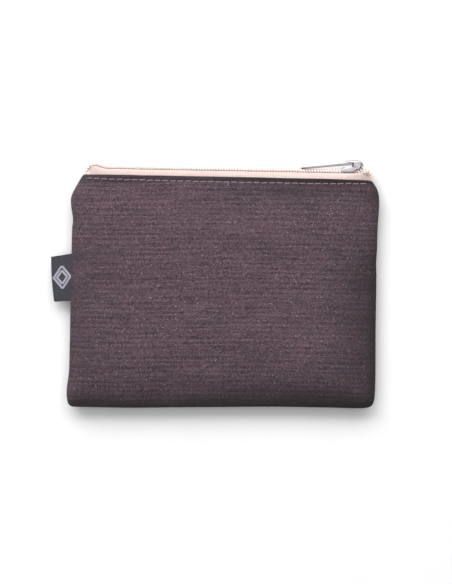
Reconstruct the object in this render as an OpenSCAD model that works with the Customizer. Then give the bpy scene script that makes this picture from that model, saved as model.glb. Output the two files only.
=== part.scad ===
// Small lined zip pouch lying flat on its back panel.
// X runs along the zip, Y from the bottom seam up to the zip, Z out of the front panel.
// The origin is the middle of the flat face that the back panel rests on.
// Every solid is in the shut state: zip closed, slider at the +X end, pull tab laid back.

/* [Pouch] */
// Width across the two side seams
pouch_w = 130; // [120:1:150]
// Height of the sewn panels, bottom seam to zip fold
pouch_h = 97; // [85:1:120]
// Thickness of the pouch lying flat
pouch_t = 11; // [10.5:0.5:14]
// Radius of the two bottom corners
corner_r = 5; // [3:0.5:8]
// How far each top corner is drawn in where the zip ends are sewn down
shoulder_in = 4.5; // [2:0.5:8]
// Distance from the zip fold down to where the shoulders start
shoulder_drop = 10.5; // [8:0.5:16]

/* [Cloth] */
// Thickness of the woven outer cloth
cloth_t = 0.8; // [0.5:0.1:1]
// Thickness of the fleece interlining
fleece_t = 1.2; // [0.8:0.1:1.5]
// Thickness of the lining cloth
lining_t = 0.3; // [0.2:0.1:0.5]
// Running gap between the front and back halves along the seam
seam_gap = 0.2; // [0.1:0.05:0.4]

/* [Zip] */
// Height of the tape's flat part above the zip fold
zip_rise = 2.2; // [1.8:0.1:3]
// Thickness of the zip tape
tape_t = 0.45; // [0.3:0.05:0.5]
// Thickness of the coil standing on the tape
coil_t = 1.7; // [1.4:0.1:1.8]
// Width of one row of the coil
coil_w = 1.75; // [1.5:0.05:1.8]
// Gap between the two coil rows, where the slider's wedge runs
coil_gap = 0.8; // [0.7:0.05:1]
// Diameter of the filler cord inside each coil row
cord_d = 0.7; // [0.5:0.1:0.9]
// Half length of the zip
zip_half = 60; // [58:0.5:60]
// Half length of the front zip edge that lifts when the mouth opens
lift_half = 41; // [38:0.5:41]

/* [Slider] */
// Where the middle of the slider stands when the zip is shut
slider_x = 53.8; // [52:0.1:54]
// Length of the slider body
slider_l = 9.4; // [8.6:0.2:9.6]
// Thickness of each slider plate
plate_t = 0.65; // [0.5:0.05:0.7]
// Half width of the slider over its flanges
slider_half = 2.72; // [2.65:0.01:2.75]
// Height of the cap above the top plate
cap_h = 3.1; // [3:0.05:3.4]
// Length of the pull tab from its pivot
pull_l = 21.3; // [16:0.1:24]
// Angle of the laid-back pull tab, sloping down to the coil
pull_tilt = 5.5; // [4:0.1:5.6]

/* [Stitching] */
// Distance between topstitches
stitch_pitch = 3.2; // [2.5:0.1:4]
// Length of one topstitch on the surface
stitch_l = 2.2; // [1.5:0.1:2.4]
// Diameter of the sewing thread
thread_d = 0.4; // [0.3:0.05:0.5]
// Distance of the topstitch line from the zip fold
stitch_drop = 1.85; // [1.5:0.05:3]

/* [Label] */
// Height of the folded ribbon label along the side seam
label_h = 19; // [12:1:25]
// How far the label stands out of the seam
label_out = 7; // [5:0.5:12]
// Distance of the label's middle above the middle of the panel
label_up = 4.7; // [-10:0.1:20]
// Thickness of one layer of the ribbon
ribbon_t = 0.3; // [0.2:0.05:0.4]

/* [Hidden] */

cloth_colour = [0.38, 0.31, 0.34];
fleece_colour = [0.93, 0.92, 0.90];
lining_colour = [0.28, 0.25, 0.27];
tape_colour = [0.97, 0.90, 0.87];
coil_colour = [0.95, 0.85, 0.81];
thread_colour = [0.56, 0.46, 0.49];
metal_colour = [0.74, 0.72, 0.72];
spring_colour = [0.60, 0.60, 0.62];
label_colour = [0.24, 0.24, 0.29];

mid_z = pouch_t / 2;
fold_y = pouch_h / 2;
depth_fleece = cloth_t;
depth_lining = cloth_t + fleece_t;
depth_inside = depth_lining + lining_t;
slab_t = 0.05;
far_y = fold_y + 12;

// Rows of the half pillow: height above the seam as a part of the half thickness, inset of the
// sides and the bottom, the Y of the top edge, and how much of a layer's depth is taken off the height.
crown_inset = 9.5;
crown_y = fold_y - 14.5;
LEVELS = [[0, 0, far_y, 0],
          [0.44, 0.7, far_y, 0.45],
          [0.62, 1.9, far_y, 0.75],
          [0.82, 4.2, fold_y, 0.95],
          [1, crown_inset, crown_y, 1]];

// Zip heights along Y
tape_y = fold_y + zip_rise;
coil_y = tape_y + tape_t;
coil_top_y = coil_y + coil_t;
plate_y = coil_top_y + 0.15;
plate_top_y = plate_y + plate_t;
bottom_plate_top_y = tape_y - 0.2;

// Zip tape under the panel: how deep it reaches, its half length there, and the fleece's trimmed edge
allowance = 6.9;
allowance_half = 54;
fleece_top_y = fold_y - allowance - 0.4;
fleece_seam_clear = 1.5;
lift_gap = 0.2;

// Clearance that lets the label bend up beside the seam
label_gap = 0.5;

// Slider parts, measured from the middle of the slider
flange_t = 0.42;
flange_end = 0.9;
nose_half = 3.1;
wedge_x = 2.6;
wedge_l = 1.6;
wedge_t = 0.5;
cap_x = -2.4;
cap_half = 1.25;
cap_wall = 0.35;
pivot_x = -1.1;
pivot_y = plate_top_y + 1.65;
bar_d = 0.9;
leaf_y = pivot_y + bar_d / 2 + 0.1;
leaf_t = 0.2;
pin_x = 0.9;
pin_l = 0.5;
window_l = 6.6;
window_half = 1.5;
arm_half = 2.35;
grip_r = 2.6;
ring_hole_d = 2;

// Plan outline of the pouch, drawn in by an inset and cut off at a top edge
module outline(inset, top_y) {
    half = pouch_w / 2 - inset;
    low = inset - pouch_h / 2;
    r = max(corner_r - inset, 1.2);
    shoulder_y = min(fold_y - shoulder_drop, top_y - 2);
    top_half = half - shoulder_in * (top_y - shoulder_y) / shoulder_drop;
    hull() {
        for (side = [-1, 1]) {
            translate([side * (half - r), low + r]) circle(r = r, $fn = 32);
            translate([side * (half - 3), shoulder_y - 2]) circle(r = 3, $fn = 32);
            translate([side * (top_half - 0.5), top_y - 0.5]) square(1, center = true);
        }
    }
}

// Half pillow on the seam plane, its surface the given depth below the outside
module half_pillow(depth) {
    half_t = pouch_t / 2;
    hull() {
        for (row = LEVELS) {
            translate([0, 0, row[0] * half_t - row[3] * depth - slab_t])
                linear_extrude(slab_t) outline(row[1] + depth, row[2]);
        }
    }
}

// One layer of a half: a shallow dish between two depths, open along the zip fold
module dish(outer_depth, inner_depth, top_y, bottom_z) {
    reach = 2 * pouch_w;
    intersection() {
        difference() {
            half_pillow(outer_depth);
            half_pillow(inner_depth);
            translate([-reach / 2, -reach / 2, -1]) cube([reach, reach, 1 + seam_gap / 2]);
        }
        translate([-reach / 2, top_y - reach, bottom_z]) cube([reach, reach, pouch_t]);
    }
}

// Puts a solid drawn above the seam plane on the front half (1) or the back half (-1)
module on_side(side) {
    translate([0, 0, mid_z]) mirror([0, 0, side < 0 ? 1 : 0]) children();
}

// Extrudes a (Y, Z) profile along X between two stations
module along_x(x0, x1) {
    translate([x0, 0, 0]) rotate([90, 0, 90]) linear_extrude(x1 - x0) children();
}

module panel(side) {
    on_side(side) dish(0, depth_fleece, fold_y, 0);
}

module interlining(side) {
    on_side(side) dish(depth_fleece, depth_lining, fleece_top_y, fleece_seam_clear);
}

module lining(side) {
    on_side(side) dish(depth_lining, depth_inside, fold_y, 0);
}

// Tape profile in (Y, Z) above the seam plane: flat under the coil
function tape_flat() = [[tape_y, coil_gap / 2], [coil_y, coil_gap / 2], [coil_y, 3.3],
                        [fold_y + 0.1, 3.65], [fold_y + 0.05, 3.22], [tape_y, 2.9]];

// The part of the tape sewn under the panel
function tape_allowance() = [[fold_y + 0.1, 3.65], [fold_y - allowance, 4.08],
                             [fold_y - allowance, 3.65], [fold_y + 0.05, 3.22]];

module tape(x0, x1, inner0, inner1) {
    along_x(x0, x1) polygon(tape_flat());
    along_x(inner0, inner1) polygon(tape_allowance());
}

// Coil row in (Y, Z): a round-edged bar with room for its filler cord
module coil_profile(bore) {
    r = 0.5;
    difference() {
        union() {
            translate([coil_y, coil_gap / 2]) square([coil_t - r, coil_w]);
            translate([coil_y, coil_gap / 2 + r]) square([coil_t, coil_w - 2 * r]);
            for (z = [r, coil_w - r]) {
                translate([coil_top_y - r, coil_gap / 2 + z]) circle(r = r, $fn = 32);
            }
        }
        translate([coil_y + coil_t / 2, coil_gap / 2 + coil_w / 2]) circle(d = bore, $fn = 32);
    }
}

module coil_cord(side, half) {
    on_side(side) translate([-half, coil_y + coil_t / 2, coil_gap / 2 + coil_w / 2])
        rotate([0, 90, 0]) cylinder(d = cord_d, h = 2 * half, $fn = 32);
}

module topstitch(side) {
    slope = (1 - 0.82) * pouch_t / 2 / (fold_y - crown_y);
    z = 0.82 * pouch_t / 2 + slope * stitch_drop + thread_d / 2;
    on_side(side) for (i = [-17 : 17]) {
        translate([i * stitch_pitch - stitch_l / 2, fold_y - stitch_drop, z])
            rotate([0, 90, 0]) cylinder(d = thread_d, h = stitch_l, $fn = 24);
    }
}

module back_panel() {
    color(cloth_colour) panel(-1);
}

module back_interlining() {
    color(fleece_colour) interlining(-1);
}

module back_lining() {
    color(lining_colour) lining(-1);
}

module rear_zip_tape() {
    color(tape_colour) on_side(-1) tape(-zip_half, zip_half, -allowance_half, allowance_half);
}

module rear_coil() {
    color(coil_colour) on_side(-1) along_x(-zip_half, zip_half) coil_profile(cord_d);
}

module rear_coil_cord() {
    color(thread_colour) coil_cord(-1, zip_half);
}

module rear_topstitch() {
    color(thread_colour) topstitch(-1);
}

// Hidden lockstitches that close the sides and the bottom, inside the turned edge
module side_seam_stitches() {
    inset = 1.45;
    z = mid_z - 0.7;
    pitch = 3;
    length = 2.2;
    side_x = pouch_w / 2 - inset;
    bottom_y = inset - pouch_h / 2;
    d = 0.3;
    color(thread_colour) {
        for (i = [-19 : 19]) {
            translate([i * pitch - length / 2, bottom_y, z]) rotate([0, 90, 0]) cylinder(d = d, h = length, $fn = 24);
        }
        for (side = [-1, 1], i = [-14 : 11]) {
            translate([side * side_x, i * pitch + length / 2, z]) rotate([90, 0, 0])
                cylinder(d = d, h = length, $fn = 24);
        }
    }
}

// Ends of the front tape, sewn down into the side seams
module front_tape_ends() {
    start = lift_half + lift_gap;
    color(tape_colour) on_side(1) {
        tape(start, zip_half, start, allowance_half);
        tape(-zip_half, -start, -allowance_half, -start);
    }
}

module front_coil_ends() {
    start = lift_half + lift_gap;
    color(coil_colour) on_side(1) {
        along_x(start, zip_half) coil_profile(cord_d);
        along_x(-zip_half, -start) coil_profile(cord_d);
    }
}

module front_panel() {
    color(cloth_colour) panel(1);
}

module front_interlining() {
    color(fleece_colour) interlining(1);
}

module front_lining() {
    color(lining_colour) lining(1);
}

module front_zip_tape() {
    color(tape_colour) on_side(1) tape(-lift_half, lift_half, -lift_half, lift_half);
}

module front_coil() {
    color(coil_colour) on_side(1) along_x(-lift_half, lift_half) coil_profile(cord_d);
}

module front_coil_cord() {
    color(thread_colour) coil_cord(1, lift_half);
}

module front_topstitch() {
    color(thread_colour) topstitch(1);
}

// Plan of a slider plate in (X, Z), wider over the nose
module plate_plan(tail_half, wide_half) {
    half_l = slider_l / 2;
    hull() {
        for (side = [-1, 1]) {
            translate([1 - half_l, side * (tail_half - 1)]) circle(r = 1, $fn = 32);
            translate([half_l - 2.4, side * (wide_half - 1.6)]) circle(r = 1.6, $fn = 32);
        }
        translate([half_l - 1.5, 0]) circle(r = 1.5, $fn = 32);
    }
}

// Extrudes an (X, Z) plan along Y between two heights
module along_y(y0, y1) {
    translate([0, y1, 0]) rotate([90, 0, 0]) linear_extrude(y1 - y0) children();
}

// Side view of the top plate in (X, Y): flat over the coil, turned up at the nose
module top_plate_side() {
    half_l = slider_l / 2;
    polygon([[-half_l, plate_y], [1.6, plate_y], [3.2, plate_y + 0.5], [half_l, plate_y + 1.6],
             [half_l - 0.4, plate_top_y + 1.45], [2.9, plate_top_y + 0.55], [1.4, plate_top_y],
             [0.3 - half_l, plate_top_y], [-half_l, plate_top_y - 0.25]]);
}

module slider_body() {
    flange_l = slider_l / 2 + flange_end - 0.7;
    color(metal_colour) translate([slider_x, 0, mid_z]) {
        difference() {
            intersection() {
                translate([0, 0, -nose_half - 1]) linear_extrude(2 * nose_half + 2) top_plate_side();
                along_y(plate_y - 1, plate_y + 4) plate_plan(slider_half, nose_half);
            }
            translate([pin_x - 0.15, plate_y - 1, -0.45]) cube([pin_l + 0.3, 3, 0.9]);
        }
        along_y(bottom_plate_top_y - plate_t, bottom_plate_top_y) plate_plan(slider_half, slider_half);
        for (side = [-1, 1]) {
            translate([0.7 - slider_l / 2, coil_y + 0.25, side * (slider_half - flange_t / 2) - flange_t / 2])
                cube([flange_l, plate_y + 0.1 - coil_y - 0.25, flange_t]);
        }
        translate([wedge_x, bottom_plate_top_y - 0.1, -wedge_t / 2])
            cube([wedge_l, plate_y + 0.8 - bottom_plate_top_y, wedge_t]);
    }
}

// Side view of the cap in (X, Y), seated on the top plate and its raised nose
module cap_side() {
    top = plate_top_y + cap_h;
    nose = slider_l / 2;
    polygon([[cap_x, plate_top_y], [1.4, plate_top_y], [2.9, plate_top_y + 0.55],
             [nose - 0.4, plate_top_y + 1.45], [nose + 0.05, plate_top_y + 1.8], [nose - 0.35, top - 0.45],
             [nose - 1.5, top], [cap_x + 0.4, top], [cap_x, top - 0.25]]);
}

module slider_cap() {
    top = plate_top_y + cap_h;
    color(metal_colour) translate([slider_x, 0, mid_z]) difference() {
        translate([0, 0, -cap_half]) linear_extrude(2 * cap_half) cap_side();
        translate([cap_x - 1, plate_top_y - 1, cap_wall - cap_half])
            cube([slider_l / 2 - 1.1 - cap_x + 1, top - cap_wall - plate_top_y + 1, 2 * (cap_half - cap_wall)]);
        translate([cap_x - 1, pivot_y - 0.8, -cap_half - 1]) cube([2.9, 1.6, 2 * cap_half + 2]);
    }
}

// Leaf spring under the cap with the pin that drops between two coil turns
module lock_spring() {
    color(spring_colour) translate([slider_x, 0, mid_z]) {
        translate([-1.9, leaf_y, -0.6]) cube([4.9, leaf_t, 1.2]);
        translate([pin_x, coil_top_y + 0.15, -0.3]) cube([pin_l, leaf_y + 0.1 - coil_top_y - 0.15, 0.6]);
    }
}

// Pull tab drawn along -X from its round pivot bar, with the open window that straddles the cap
module pull_tab_flat() {
    difference() {
        intersection() {
            translate([0, 0, -grip_r - 1]) linear_extrude(2 * grip_r + 2)
                polygon([[0.6, -0.45], [0.6, 0.45], [-window_l, 0.45], [-pull_l, 0.27],
                         [-pull_l, -0.27], [-window_l, -0.45]]);
            along_y(-1, 1) union() {
                translate([-window_l - 1.4, -arm_half]) square([window_l + 2, 2 * arm_half]);
                hull() {
                    translate([-window_l - 1.4, 0]) circle(r = 1.6, $fn = 32);
                    translate([grip_r - pull_l, 0]) circle(r = grip_r, $fn = 48);
                }
            }
        }
        translate([-window_l, -1, -window_half]) cube([window_l + 2, 2, 2 * window_half]);
        translate([grip_r - pull_l, -1, 0]) rotate([-90, 0, 0]) cylinder(d = ring_hole_d, h = 2, $fn = 32);
    }
    translate([0, 0, -arm_half]) cylinder(d = bar_d, h = 2 * arm_half, $fn = 32);
}

module pull_tab() {
    color(metal_colour) translate([slider_x + pivot_x, pivot_y, mid_z]) rotate([0, 0, pull_tilt]) pull_tab_flat();
}

// Ribbon label folded on itself, its two ends caught in the left seam
module side_label() {
    half_t = ribbon_t + 0.075;
    seam_x = pouch_w / 2 + label_gap;
    color(label_colour) translate([-seam_x, label_up + label_h / 2, mid_z]) rotate([90, 0, 0])
        linear_extrude(label_h) difference() {
            union() {
                translate([half_t - label_out, 0]) circle(r = half_t, $fn = 32);
                translate([half_t - label_out, -half_t]) square([label_out - half_t, 2 * half_t]);
            }
            union() {
                translate([half_t - label_out, 0]) circle(r = half_t - ribbon_t, $fn = 32);
                translate([half_t - label_out, ribbon_t - half_t])
                    square([label_out, 2 * (half_t - ribbon_t)]);
            }
        }
}

back_panel();
back_interlining();
back_lining();
rear_zip_tape();
rear_coil();
rear_coil_cord();
rear_topstitch();
side_seam_stitches();
front_tape_ends();
front_coil_ends();
front_panel();
front_interlining();
front_lining();
front_zip_tape();
front_coil();
front_coil_cord();
front_topstitch();
slider_body();
slider_cap();
lock_spring();
pull_tab();
side_label();
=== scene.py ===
"""Zippered pouch: the looks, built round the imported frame.

Lengths are in millimetres until a mesh is made, angles in degrees unless a name says otherwise.
X runs along the zip, Y from the bottom seam up to the zip, Z out of the front panel.
"""
import math
from types import SimpleNamespace

import bmesh
import bpy
import numpy as np
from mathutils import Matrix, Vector


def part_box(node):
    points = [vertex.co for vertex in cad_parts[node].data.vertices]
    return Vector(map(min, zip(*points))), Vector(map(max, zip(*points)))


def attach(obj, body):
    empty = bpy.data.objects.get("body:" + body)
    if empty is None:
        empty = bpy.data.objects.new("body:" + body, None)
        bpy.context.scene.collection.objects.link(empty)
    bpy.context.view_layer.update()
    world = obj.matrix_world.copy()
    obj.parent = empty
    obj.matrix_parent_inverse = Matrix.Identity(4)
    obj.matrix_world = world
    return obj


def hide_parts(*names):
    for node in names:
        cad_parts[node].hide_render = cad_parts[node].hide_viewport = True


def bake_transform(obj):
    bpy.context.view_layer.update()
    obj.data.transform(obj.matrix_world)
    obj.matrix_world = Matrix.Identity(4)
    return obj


MM = 0.001
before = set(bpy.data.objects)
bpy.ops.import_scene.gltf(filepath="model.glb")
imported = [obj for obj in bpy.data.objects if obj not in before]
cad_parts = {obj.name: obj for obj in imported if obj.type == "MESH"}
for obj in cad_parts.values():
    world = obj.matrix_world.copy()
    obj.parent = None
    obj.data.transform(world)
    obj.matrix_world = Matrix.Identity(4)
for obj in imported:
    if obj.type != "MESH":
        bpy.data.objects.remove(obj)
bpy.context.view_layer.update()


def node_box(node):
    """Lowest and highest corner of a CAD node, in millimetres."""
    low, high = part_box(node)
    return np.array(low) / MM, np.array(high) / MM


def link(name, data):
    """Puts a new object into the scene."""
    item = bpy.data.objects.new(name, data)
    bpy.context.scene.collection.objects.link(item)
    return item


FRONT_LOW, FRONT_HIGH = node_box("front_panel")
STITCH_LOW, STITCH_HIGH = node_box("front_topstitch")

MID_Z = (node_box("back_panel")[1][2] + FRONT_LOW[2]) / 2
HALF_T = FRONT_HIGH[2] - MID_Z
FOLD_SAG = 0.3  # how much lower the cloth's fold and its stitches lie than the solid panel's
FOLD_Y = FRONT_HIGH[1] - FOLD_SAG
BOTTOM_Y = FRONT_LOW[1]
COIL_BASE_Y = node_box("rear_coil")[0][1]
STITCH_Y = (STITCH_LOW[1] + STITCH_HIGH[1]) / 2 - FOLD_SAG

# ---- camera
# It looks straight down: its turn about Z, its height, the width that it sees and the point in the middle
VIEW_TURN, VIEW_HEIGHT, VIEW_SPAN = 1.15, 900.0, 246.2
VIEW_CENTRE = (1.26, 0.23)


def make_camera():
    data = bpy.data.cameras.new("camera")
    data.sensor_width = 36
    data.lens = data.sensor_width * (VIEW_HEIGHT - MID_Z) / VIEW_SPAN
    camera = link("camera", data)
    camera.location = (VIEW_CENTRE[0] * MM, VIEW_CENTRE[1] * MM, VIEW_HEIGHT * MM)
    camera.rotation_euler = (0, 0, math.radians(VIEW_TURN))
    bpy.context.scene.camera = camera


make_camera()


# ---- mesh helpers
class Patch:
    """A mesh being put together.

    It has vertices and one UV for each, both in mm, quads, and a mark for each quad: -1 in the left half of
    the pouch, 1 in the right half, 0 where it doesn't matter.
    """

    def __init__(self, verts, faces, uvs, halves=None):
        self.verts = np.asarray(verts, float).reshape(-1, 3)
        self.faces = np.asarray(faces, int).reshape(-1, 4)
        self.uvs = np.asarray(uvs, float).reshape(-1, 2)
        self.halves = np.zeros(len(self.faces), int) if halves is None else np.asarray(halves, int)


def join(*patches):
    """One patch from several, still unwelded."""
    start = np.cumsum([0] + [len(p.verts) for p in patches[:-1]])
    return Patch(np.vstack([p.verts for p in patches]),
                 np.vstack([p.faces + s for p, s in zip(patches, start)]),
                 np.vstack([p.uvs for p in patches]),
                 np.concatenate([p.halves for p in patches]))


def weld(patch, step=1e-4):
    """Merges vertices that lie at the same place and drops quads that lose an edge doing so."""
    keys = np.round(patch.verts / step).astype(np.int64)
    _, first, inverse = np.unique(keys, axis=0, return_index=True, return_inverse=True)
    inverse = inverse.reshape(-1)
    faces = inverse[patch.faces]
    keep = np.array([len(set(f)) == 4 for f in faces])
    return Patch(patch.verts[first], faces[keep], patch.uvs[first], patch.halves[keep])


def grid(points, uvs, wrap=False, flip=False, cut=None):
    """A patch from a (rows, columns, 3) array of points; cut is the column where the right half starts.

    A wrapped grid has an even number of columns, and its first and last rings are closed.
    """
    rows, cols = points.shape[:2]
    ids = np.arange(rows * cols).reshape(rows, cols)
    if wrap:
        ids = np.hstack([ids, ids[:, :1]])
    quads = np.stack([ids[:-1, :-1], ids[:-1, 1:], ids[1:, 1:], ids[1:, :-1]], axis=-1)
    if flip:
        quads = quads[..., ::-1]
    if wrap:
        across = np.array([[k, k + 1, cols - 2 - k, cols - 1 - k] for k in range(cols // 2 - 1)])
        quads = np.concatenate([quads.reshape(-1, 4), across[:, ::-1], across + (rows - 1) * cols])
    halves = None
    if cut is not None:
        halves = np.where(np.arange(quads.shape[1]) < cut, -1, 1)
        halves = np.broadcast_to(halves, quads.shape[:2]).reshape(-1)
    return Patch(points.reshape(-1, 3), quads.reshape(-1, 4), uvs.reshape(-1, 2), halves)


def normals(patch):
    """Smooth vertex normals of a patch."""
    a, b, c, d = (patch.verts[patch.faces[:, k]] for k in range(4))
    face_normals = np.cross(c - a, d - b)
    total = np.zeros_like(patch.verts)
    for k in range(4):
        np.add.at(total, patch.faces[:, k], face_normals)
    return total / np.maximum(np.linalg.norm(total, axis=1, keepdims=True), 1e-12)


def thicken(patch, thickness):
    """A closed sheet: the patch, its copy moved inwards, and a rim along every open edge."""
    inner = patch.verts - normals(patch) * thickness
    count = len(patch.verts)
    edges = {}
    for index, face in enumerate(patch.faces):
        for k in range(4):
            a, b = int(face[k]), int(face[(k + 1) % 4])
            if (b, a) in edges:
                del edges[(b, a)]
            else:
                edges[(a, b)] = index
    rim = np.array([[b, a, a + count, b + count] for a, b in edges], int).reshape(-1, 4)
    rim_halves = patch.halves[list(edges.values())]
    return Patch(np.vstack([patch.verts, inner]),
                 np.vstack([patch.faces, patch.faces[:, ::-1] + count, rim]),
                 np.vstack([patch.uvs, patch.uvs]),
                 np.concatenate([patch.halves, patch.halves, rim_halves]))


SHARP_ANGLE = 66  # edges that turn by more than this are shaded as creases


def add_object(name, patch, material):
    """Makes the Blender object of a patch."""
    used, faces = np.unique(patch.faces, return_inverse=True)
    faces = faces.reshape(-1, 4)
    mesh = bpy.data.meshes.new(name)
    mesh.from_pydata((patch.verts[used] * MM).tolist(), [], faces.tolist())
    layer = mesh.uv_layers.new(name="weave")
    layer.data.foreach_set("uv", patch.uvs[used][faces.reshape(-1)].astype(np.float32).reshape(-1))
    mesh.polygons.foreach_set("use_smooth", [True] * len(faces))
    mesh.materials.append(material)
    mesh.update()
    mesh.set_sharp_from_angle(angle=math.radians(SHARP_ANGLE))
    return link(name, mesh)


def claim(piece, body, slot, *nodes):
    """Says which body a piece rides on and which CAD nodes it stands for, which it hides; slot is not used.
    """
    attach(piece, body)
    if nodes:
        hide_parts(*nodes)
    return piece


def add_front_halves(name, patch, material, slot, *nodes, thickness=None):
    """A piece of the front half in two parts, left and right of the middle.

    A patch that is still a bare surface is given its thickness here, so that each part is closed.
    """
    pieces = []
    for mark, side in ((-1, "left"), (1, "right")):
        chosen = patch.halves == mark
        part = Patch(patch.verts, patch.faces[chosen], patch.uvs)
        if thickness:
            part = thicken(part, thickness)
        piece = add_object(f"{name}_{side}", part, material)
        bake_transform(piece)
        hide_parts(*nodes)
        pieces.append(piece)
    return pieces


def add_root_piece(name, patch, material, slot, *nodes, thickness=None):
    """A piece that stays with the back half."""
    if thickness:
        patch = thicken(patch, thickness)
    return claim(add_object(name, patch, material), "root", slot, *nodes)


def declare_sheets(pieces, held, *rests_on):
    """Reads the UVs of each piece, which span the size that it was cut to, and does nothing more with them.
    """
    for piece in pieces:
        uv = np.zeros(len(piece.data.loops) * 2)
        piece.data.uv_layers["weave"].data.foreach_get("uv", uv)


def add_both(names, shape, material, slot, front_nodes, back_node, thickness=None, held=None, rests_on=()):
    """What both halves of the pouch have: shape(1) in front and shape(-1) behind, and their UVs read if held
    is given.
    """
    front = add_front_halves(names[0], shape(1), material, slot, *front_nodes, thickness=thickness)
    back = add_root_piece(names[1], shape(-1), material, slot, back_node, thickness=thickness)
    if held:
        declare_sheets(front, held, rests_on[0])
        declare_sheets([back], held, rests_on[1])
    return [*front, back]


def bump(x, centre, width):
    """A smooth hump of height 1, which has faded to a third at its width from the centre."""
    return np.exp(-((np.asarray(x, float) - centre) / width) ** 2)


def smooth_step(x, start, end):
    """0 before start, 1 after end, smooth between them."""
    t = np.clip((np.asarray(x, float) - start) / (end - start), 0, 1)
    return t * t * (3 - 2 * t)


def spline(points, per_span):
    """Points on a Catmull-Rom curve through given points."""
    p = np.asarray(points, float)
    p = np.vstack([2 * p[0] - p[1], p, 2 * p[-1] - p[-2]])
    out = []
    for k in range(1, len(p) - 2):
        for t in np.arange(per_span) / per_span:
            out.append(0.5 * (2 * p[k] + (p[k + 1] - p[k - 1]) * t
                              + (2 * p[k - 1] - 5 * p[k] + 4 * p[k + 1] - p[k + 2]) * t * t
                              + (3 * p[k] - p[k - 1] - 3 * p[k + 1] + p[k + 2]) * t ** 3))
    out.append(p[-2])
    return np.array(out)


def run_along(path):
    """How far along a path each of its points lies."""
    return np.concatenate([[0], np.cumsum(np.linalg.norm(np.diff(path, axis=0), axis=1))])


def tube(path, radius, sides=8, half=None):
    """A closed tube along a path, with rounded-off ends."""
    path = np.asarray(path, float)
    tangent = np.gradient(path, axis=0)
    tangent /= np.linalg.norm(tangent, axis=1, keepdims=True)
    up = np.array([0.0, 0.0, 1.0]) if abs(tangent[0][2]) < 0.9 else np.array([0.0, 1.0, 0.0])
    across = np.zeros_like(path)
    for k, direction in enumerate(tangent):
        side = np.cross(up, direction)
        across[k] = side / np.linalg.norm(side)
        up = np.cross(direction, across[k])
    over = np.cross(tangent, across)
    length = run_along(path)
    turns = np.arange(sides) * 2 * math.pi / sides
    # Rings as (path point, share of the radius, distance past the point in radii)
    stations = [(0, 0.05, -0.95), (0, 0.7, -0.7)]
    stations += [(k, 1.0, 0.0) for k in range(len(path))]
    stations += [(-1, 0.7, 0.7), (-1, 0.05, 0.95)]
    rings, uv = [], []
    for k, scale, offset in stations:
        centre = path[k] + tangent[k] * offset * radius
        spokes = np.outer(np.cos(turns), across[k]) + np.outer(np.sin(turns), over[k])
        rings.append(centre + radius * scale * spokes)
        uv.append(np.stack([np.full(sides, length[k] + offset * radius), turns * radius], -1))
    patch = grid(np.array(rings), np.array(uv), wrap=True)
    if half is not None:
        patch.halves[:] = half
    return patch


# ---- shape of the sewn panels
# How far in from each seam a panel is rounded
LEFT_W, RIGHT_W, BOTTOM_W = 10.0, 15.0, 17.0
SEAM_R = 0.45
# How much the zip fold drops, over what length, and the height that is left for the fill
LIP_DROP, LIP_LENGTH = 1.0, 14.5
FILL_RISE = 0.7
# Spans of the coarse grid: across the flat, at each rounded edge, up the flat and at the zip fold
FLAT_SPANS, EDGE_SPANS, ROW_SPANS, LIP_ROWS = 36, 8, 24, 8
LIP_START = 40.0
FINE = 3  # spans of the fine grid in each span of the coarse one
# Powers that shape the rounding: how square the corners are, and how full the edge is
CORNER_POWER, EDGE_POWER = 9, 1.35
REST_Z = 0.02  # the lowest that the back panel's cloth may lie
BACK_WAVES = 0.35  # the back lies flat, so its slow waves are lower than the front's by this share
STITCH_PITCH = 3.2


def left_edge(y):
    """How far the left side seam stands from the middle: dented under the shoulder, flared at the foot."""
    drawn_in = 4.3 * np.clip((y - 38.0) / 10.5, 0, 1.2) ** 1.5
    return 64.15 + 0.75 * bump(y, 38, 5) - 0.4 * bump(y, 29.5, 2.5) + 0.9 * bump(y, -46, 7) - drawn_in


def right_edge(y):
    """How far the right side seam stands from the middle, with a shorter shoulder."""
    drawn_in = 3.1 * np.clip((y - 41.5) / 7.0, 0, 1.2) ** 2
    return 64.55 + 0.5 * bump(y, 38, 7) - 0.3 * bump(y, 13.5, 4) + 0.4 * bump(y, -38, 18) - drawn_in


def bottom_edge(x):
    """Y of the bottom seam, which runs a little out of square."""
    waves = 0.3 * bump(x, 22, 20) - 0.35 * bump(x, -38, 16) - 0.25 * bump(x, 58, 9)
    return BOTTOM_Y + 0.1 + 0.0165 * x + waves


def stations(fine):
    """Column and row stations of a panel: flat fractions, and edge angles from 0 (flat) to 1 (seam)."""
    edge = np.linspace(1, 0, EDGE_SPANS * fine + 1)[:-1]
    flat = np.linspace(-1, 1, FLAT_SPANS * fine + 1)
    columns = (np.concatenate([-np.ones_like(edge), flat, np.ones_like(edge)]),
               np.concatenate([edge, np.zeros_like(flat), edge[::-1]]))
    low = BOTTOM_Y + BOTTOM_W
    body = np.linspace(low, LIP_START, ROW_SPANS * fine + 1)[:-1]
    lip = np.linspace(LIP_START, FOLD_Y, LIP_ROWS * fine + 1)
    rows = (np.concatenate([np.full_like(edge, low), body, lip]),
            np.concatenate([edge, np.zeros(len(body) + len(lip))]))
    return columns, rows


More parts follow.
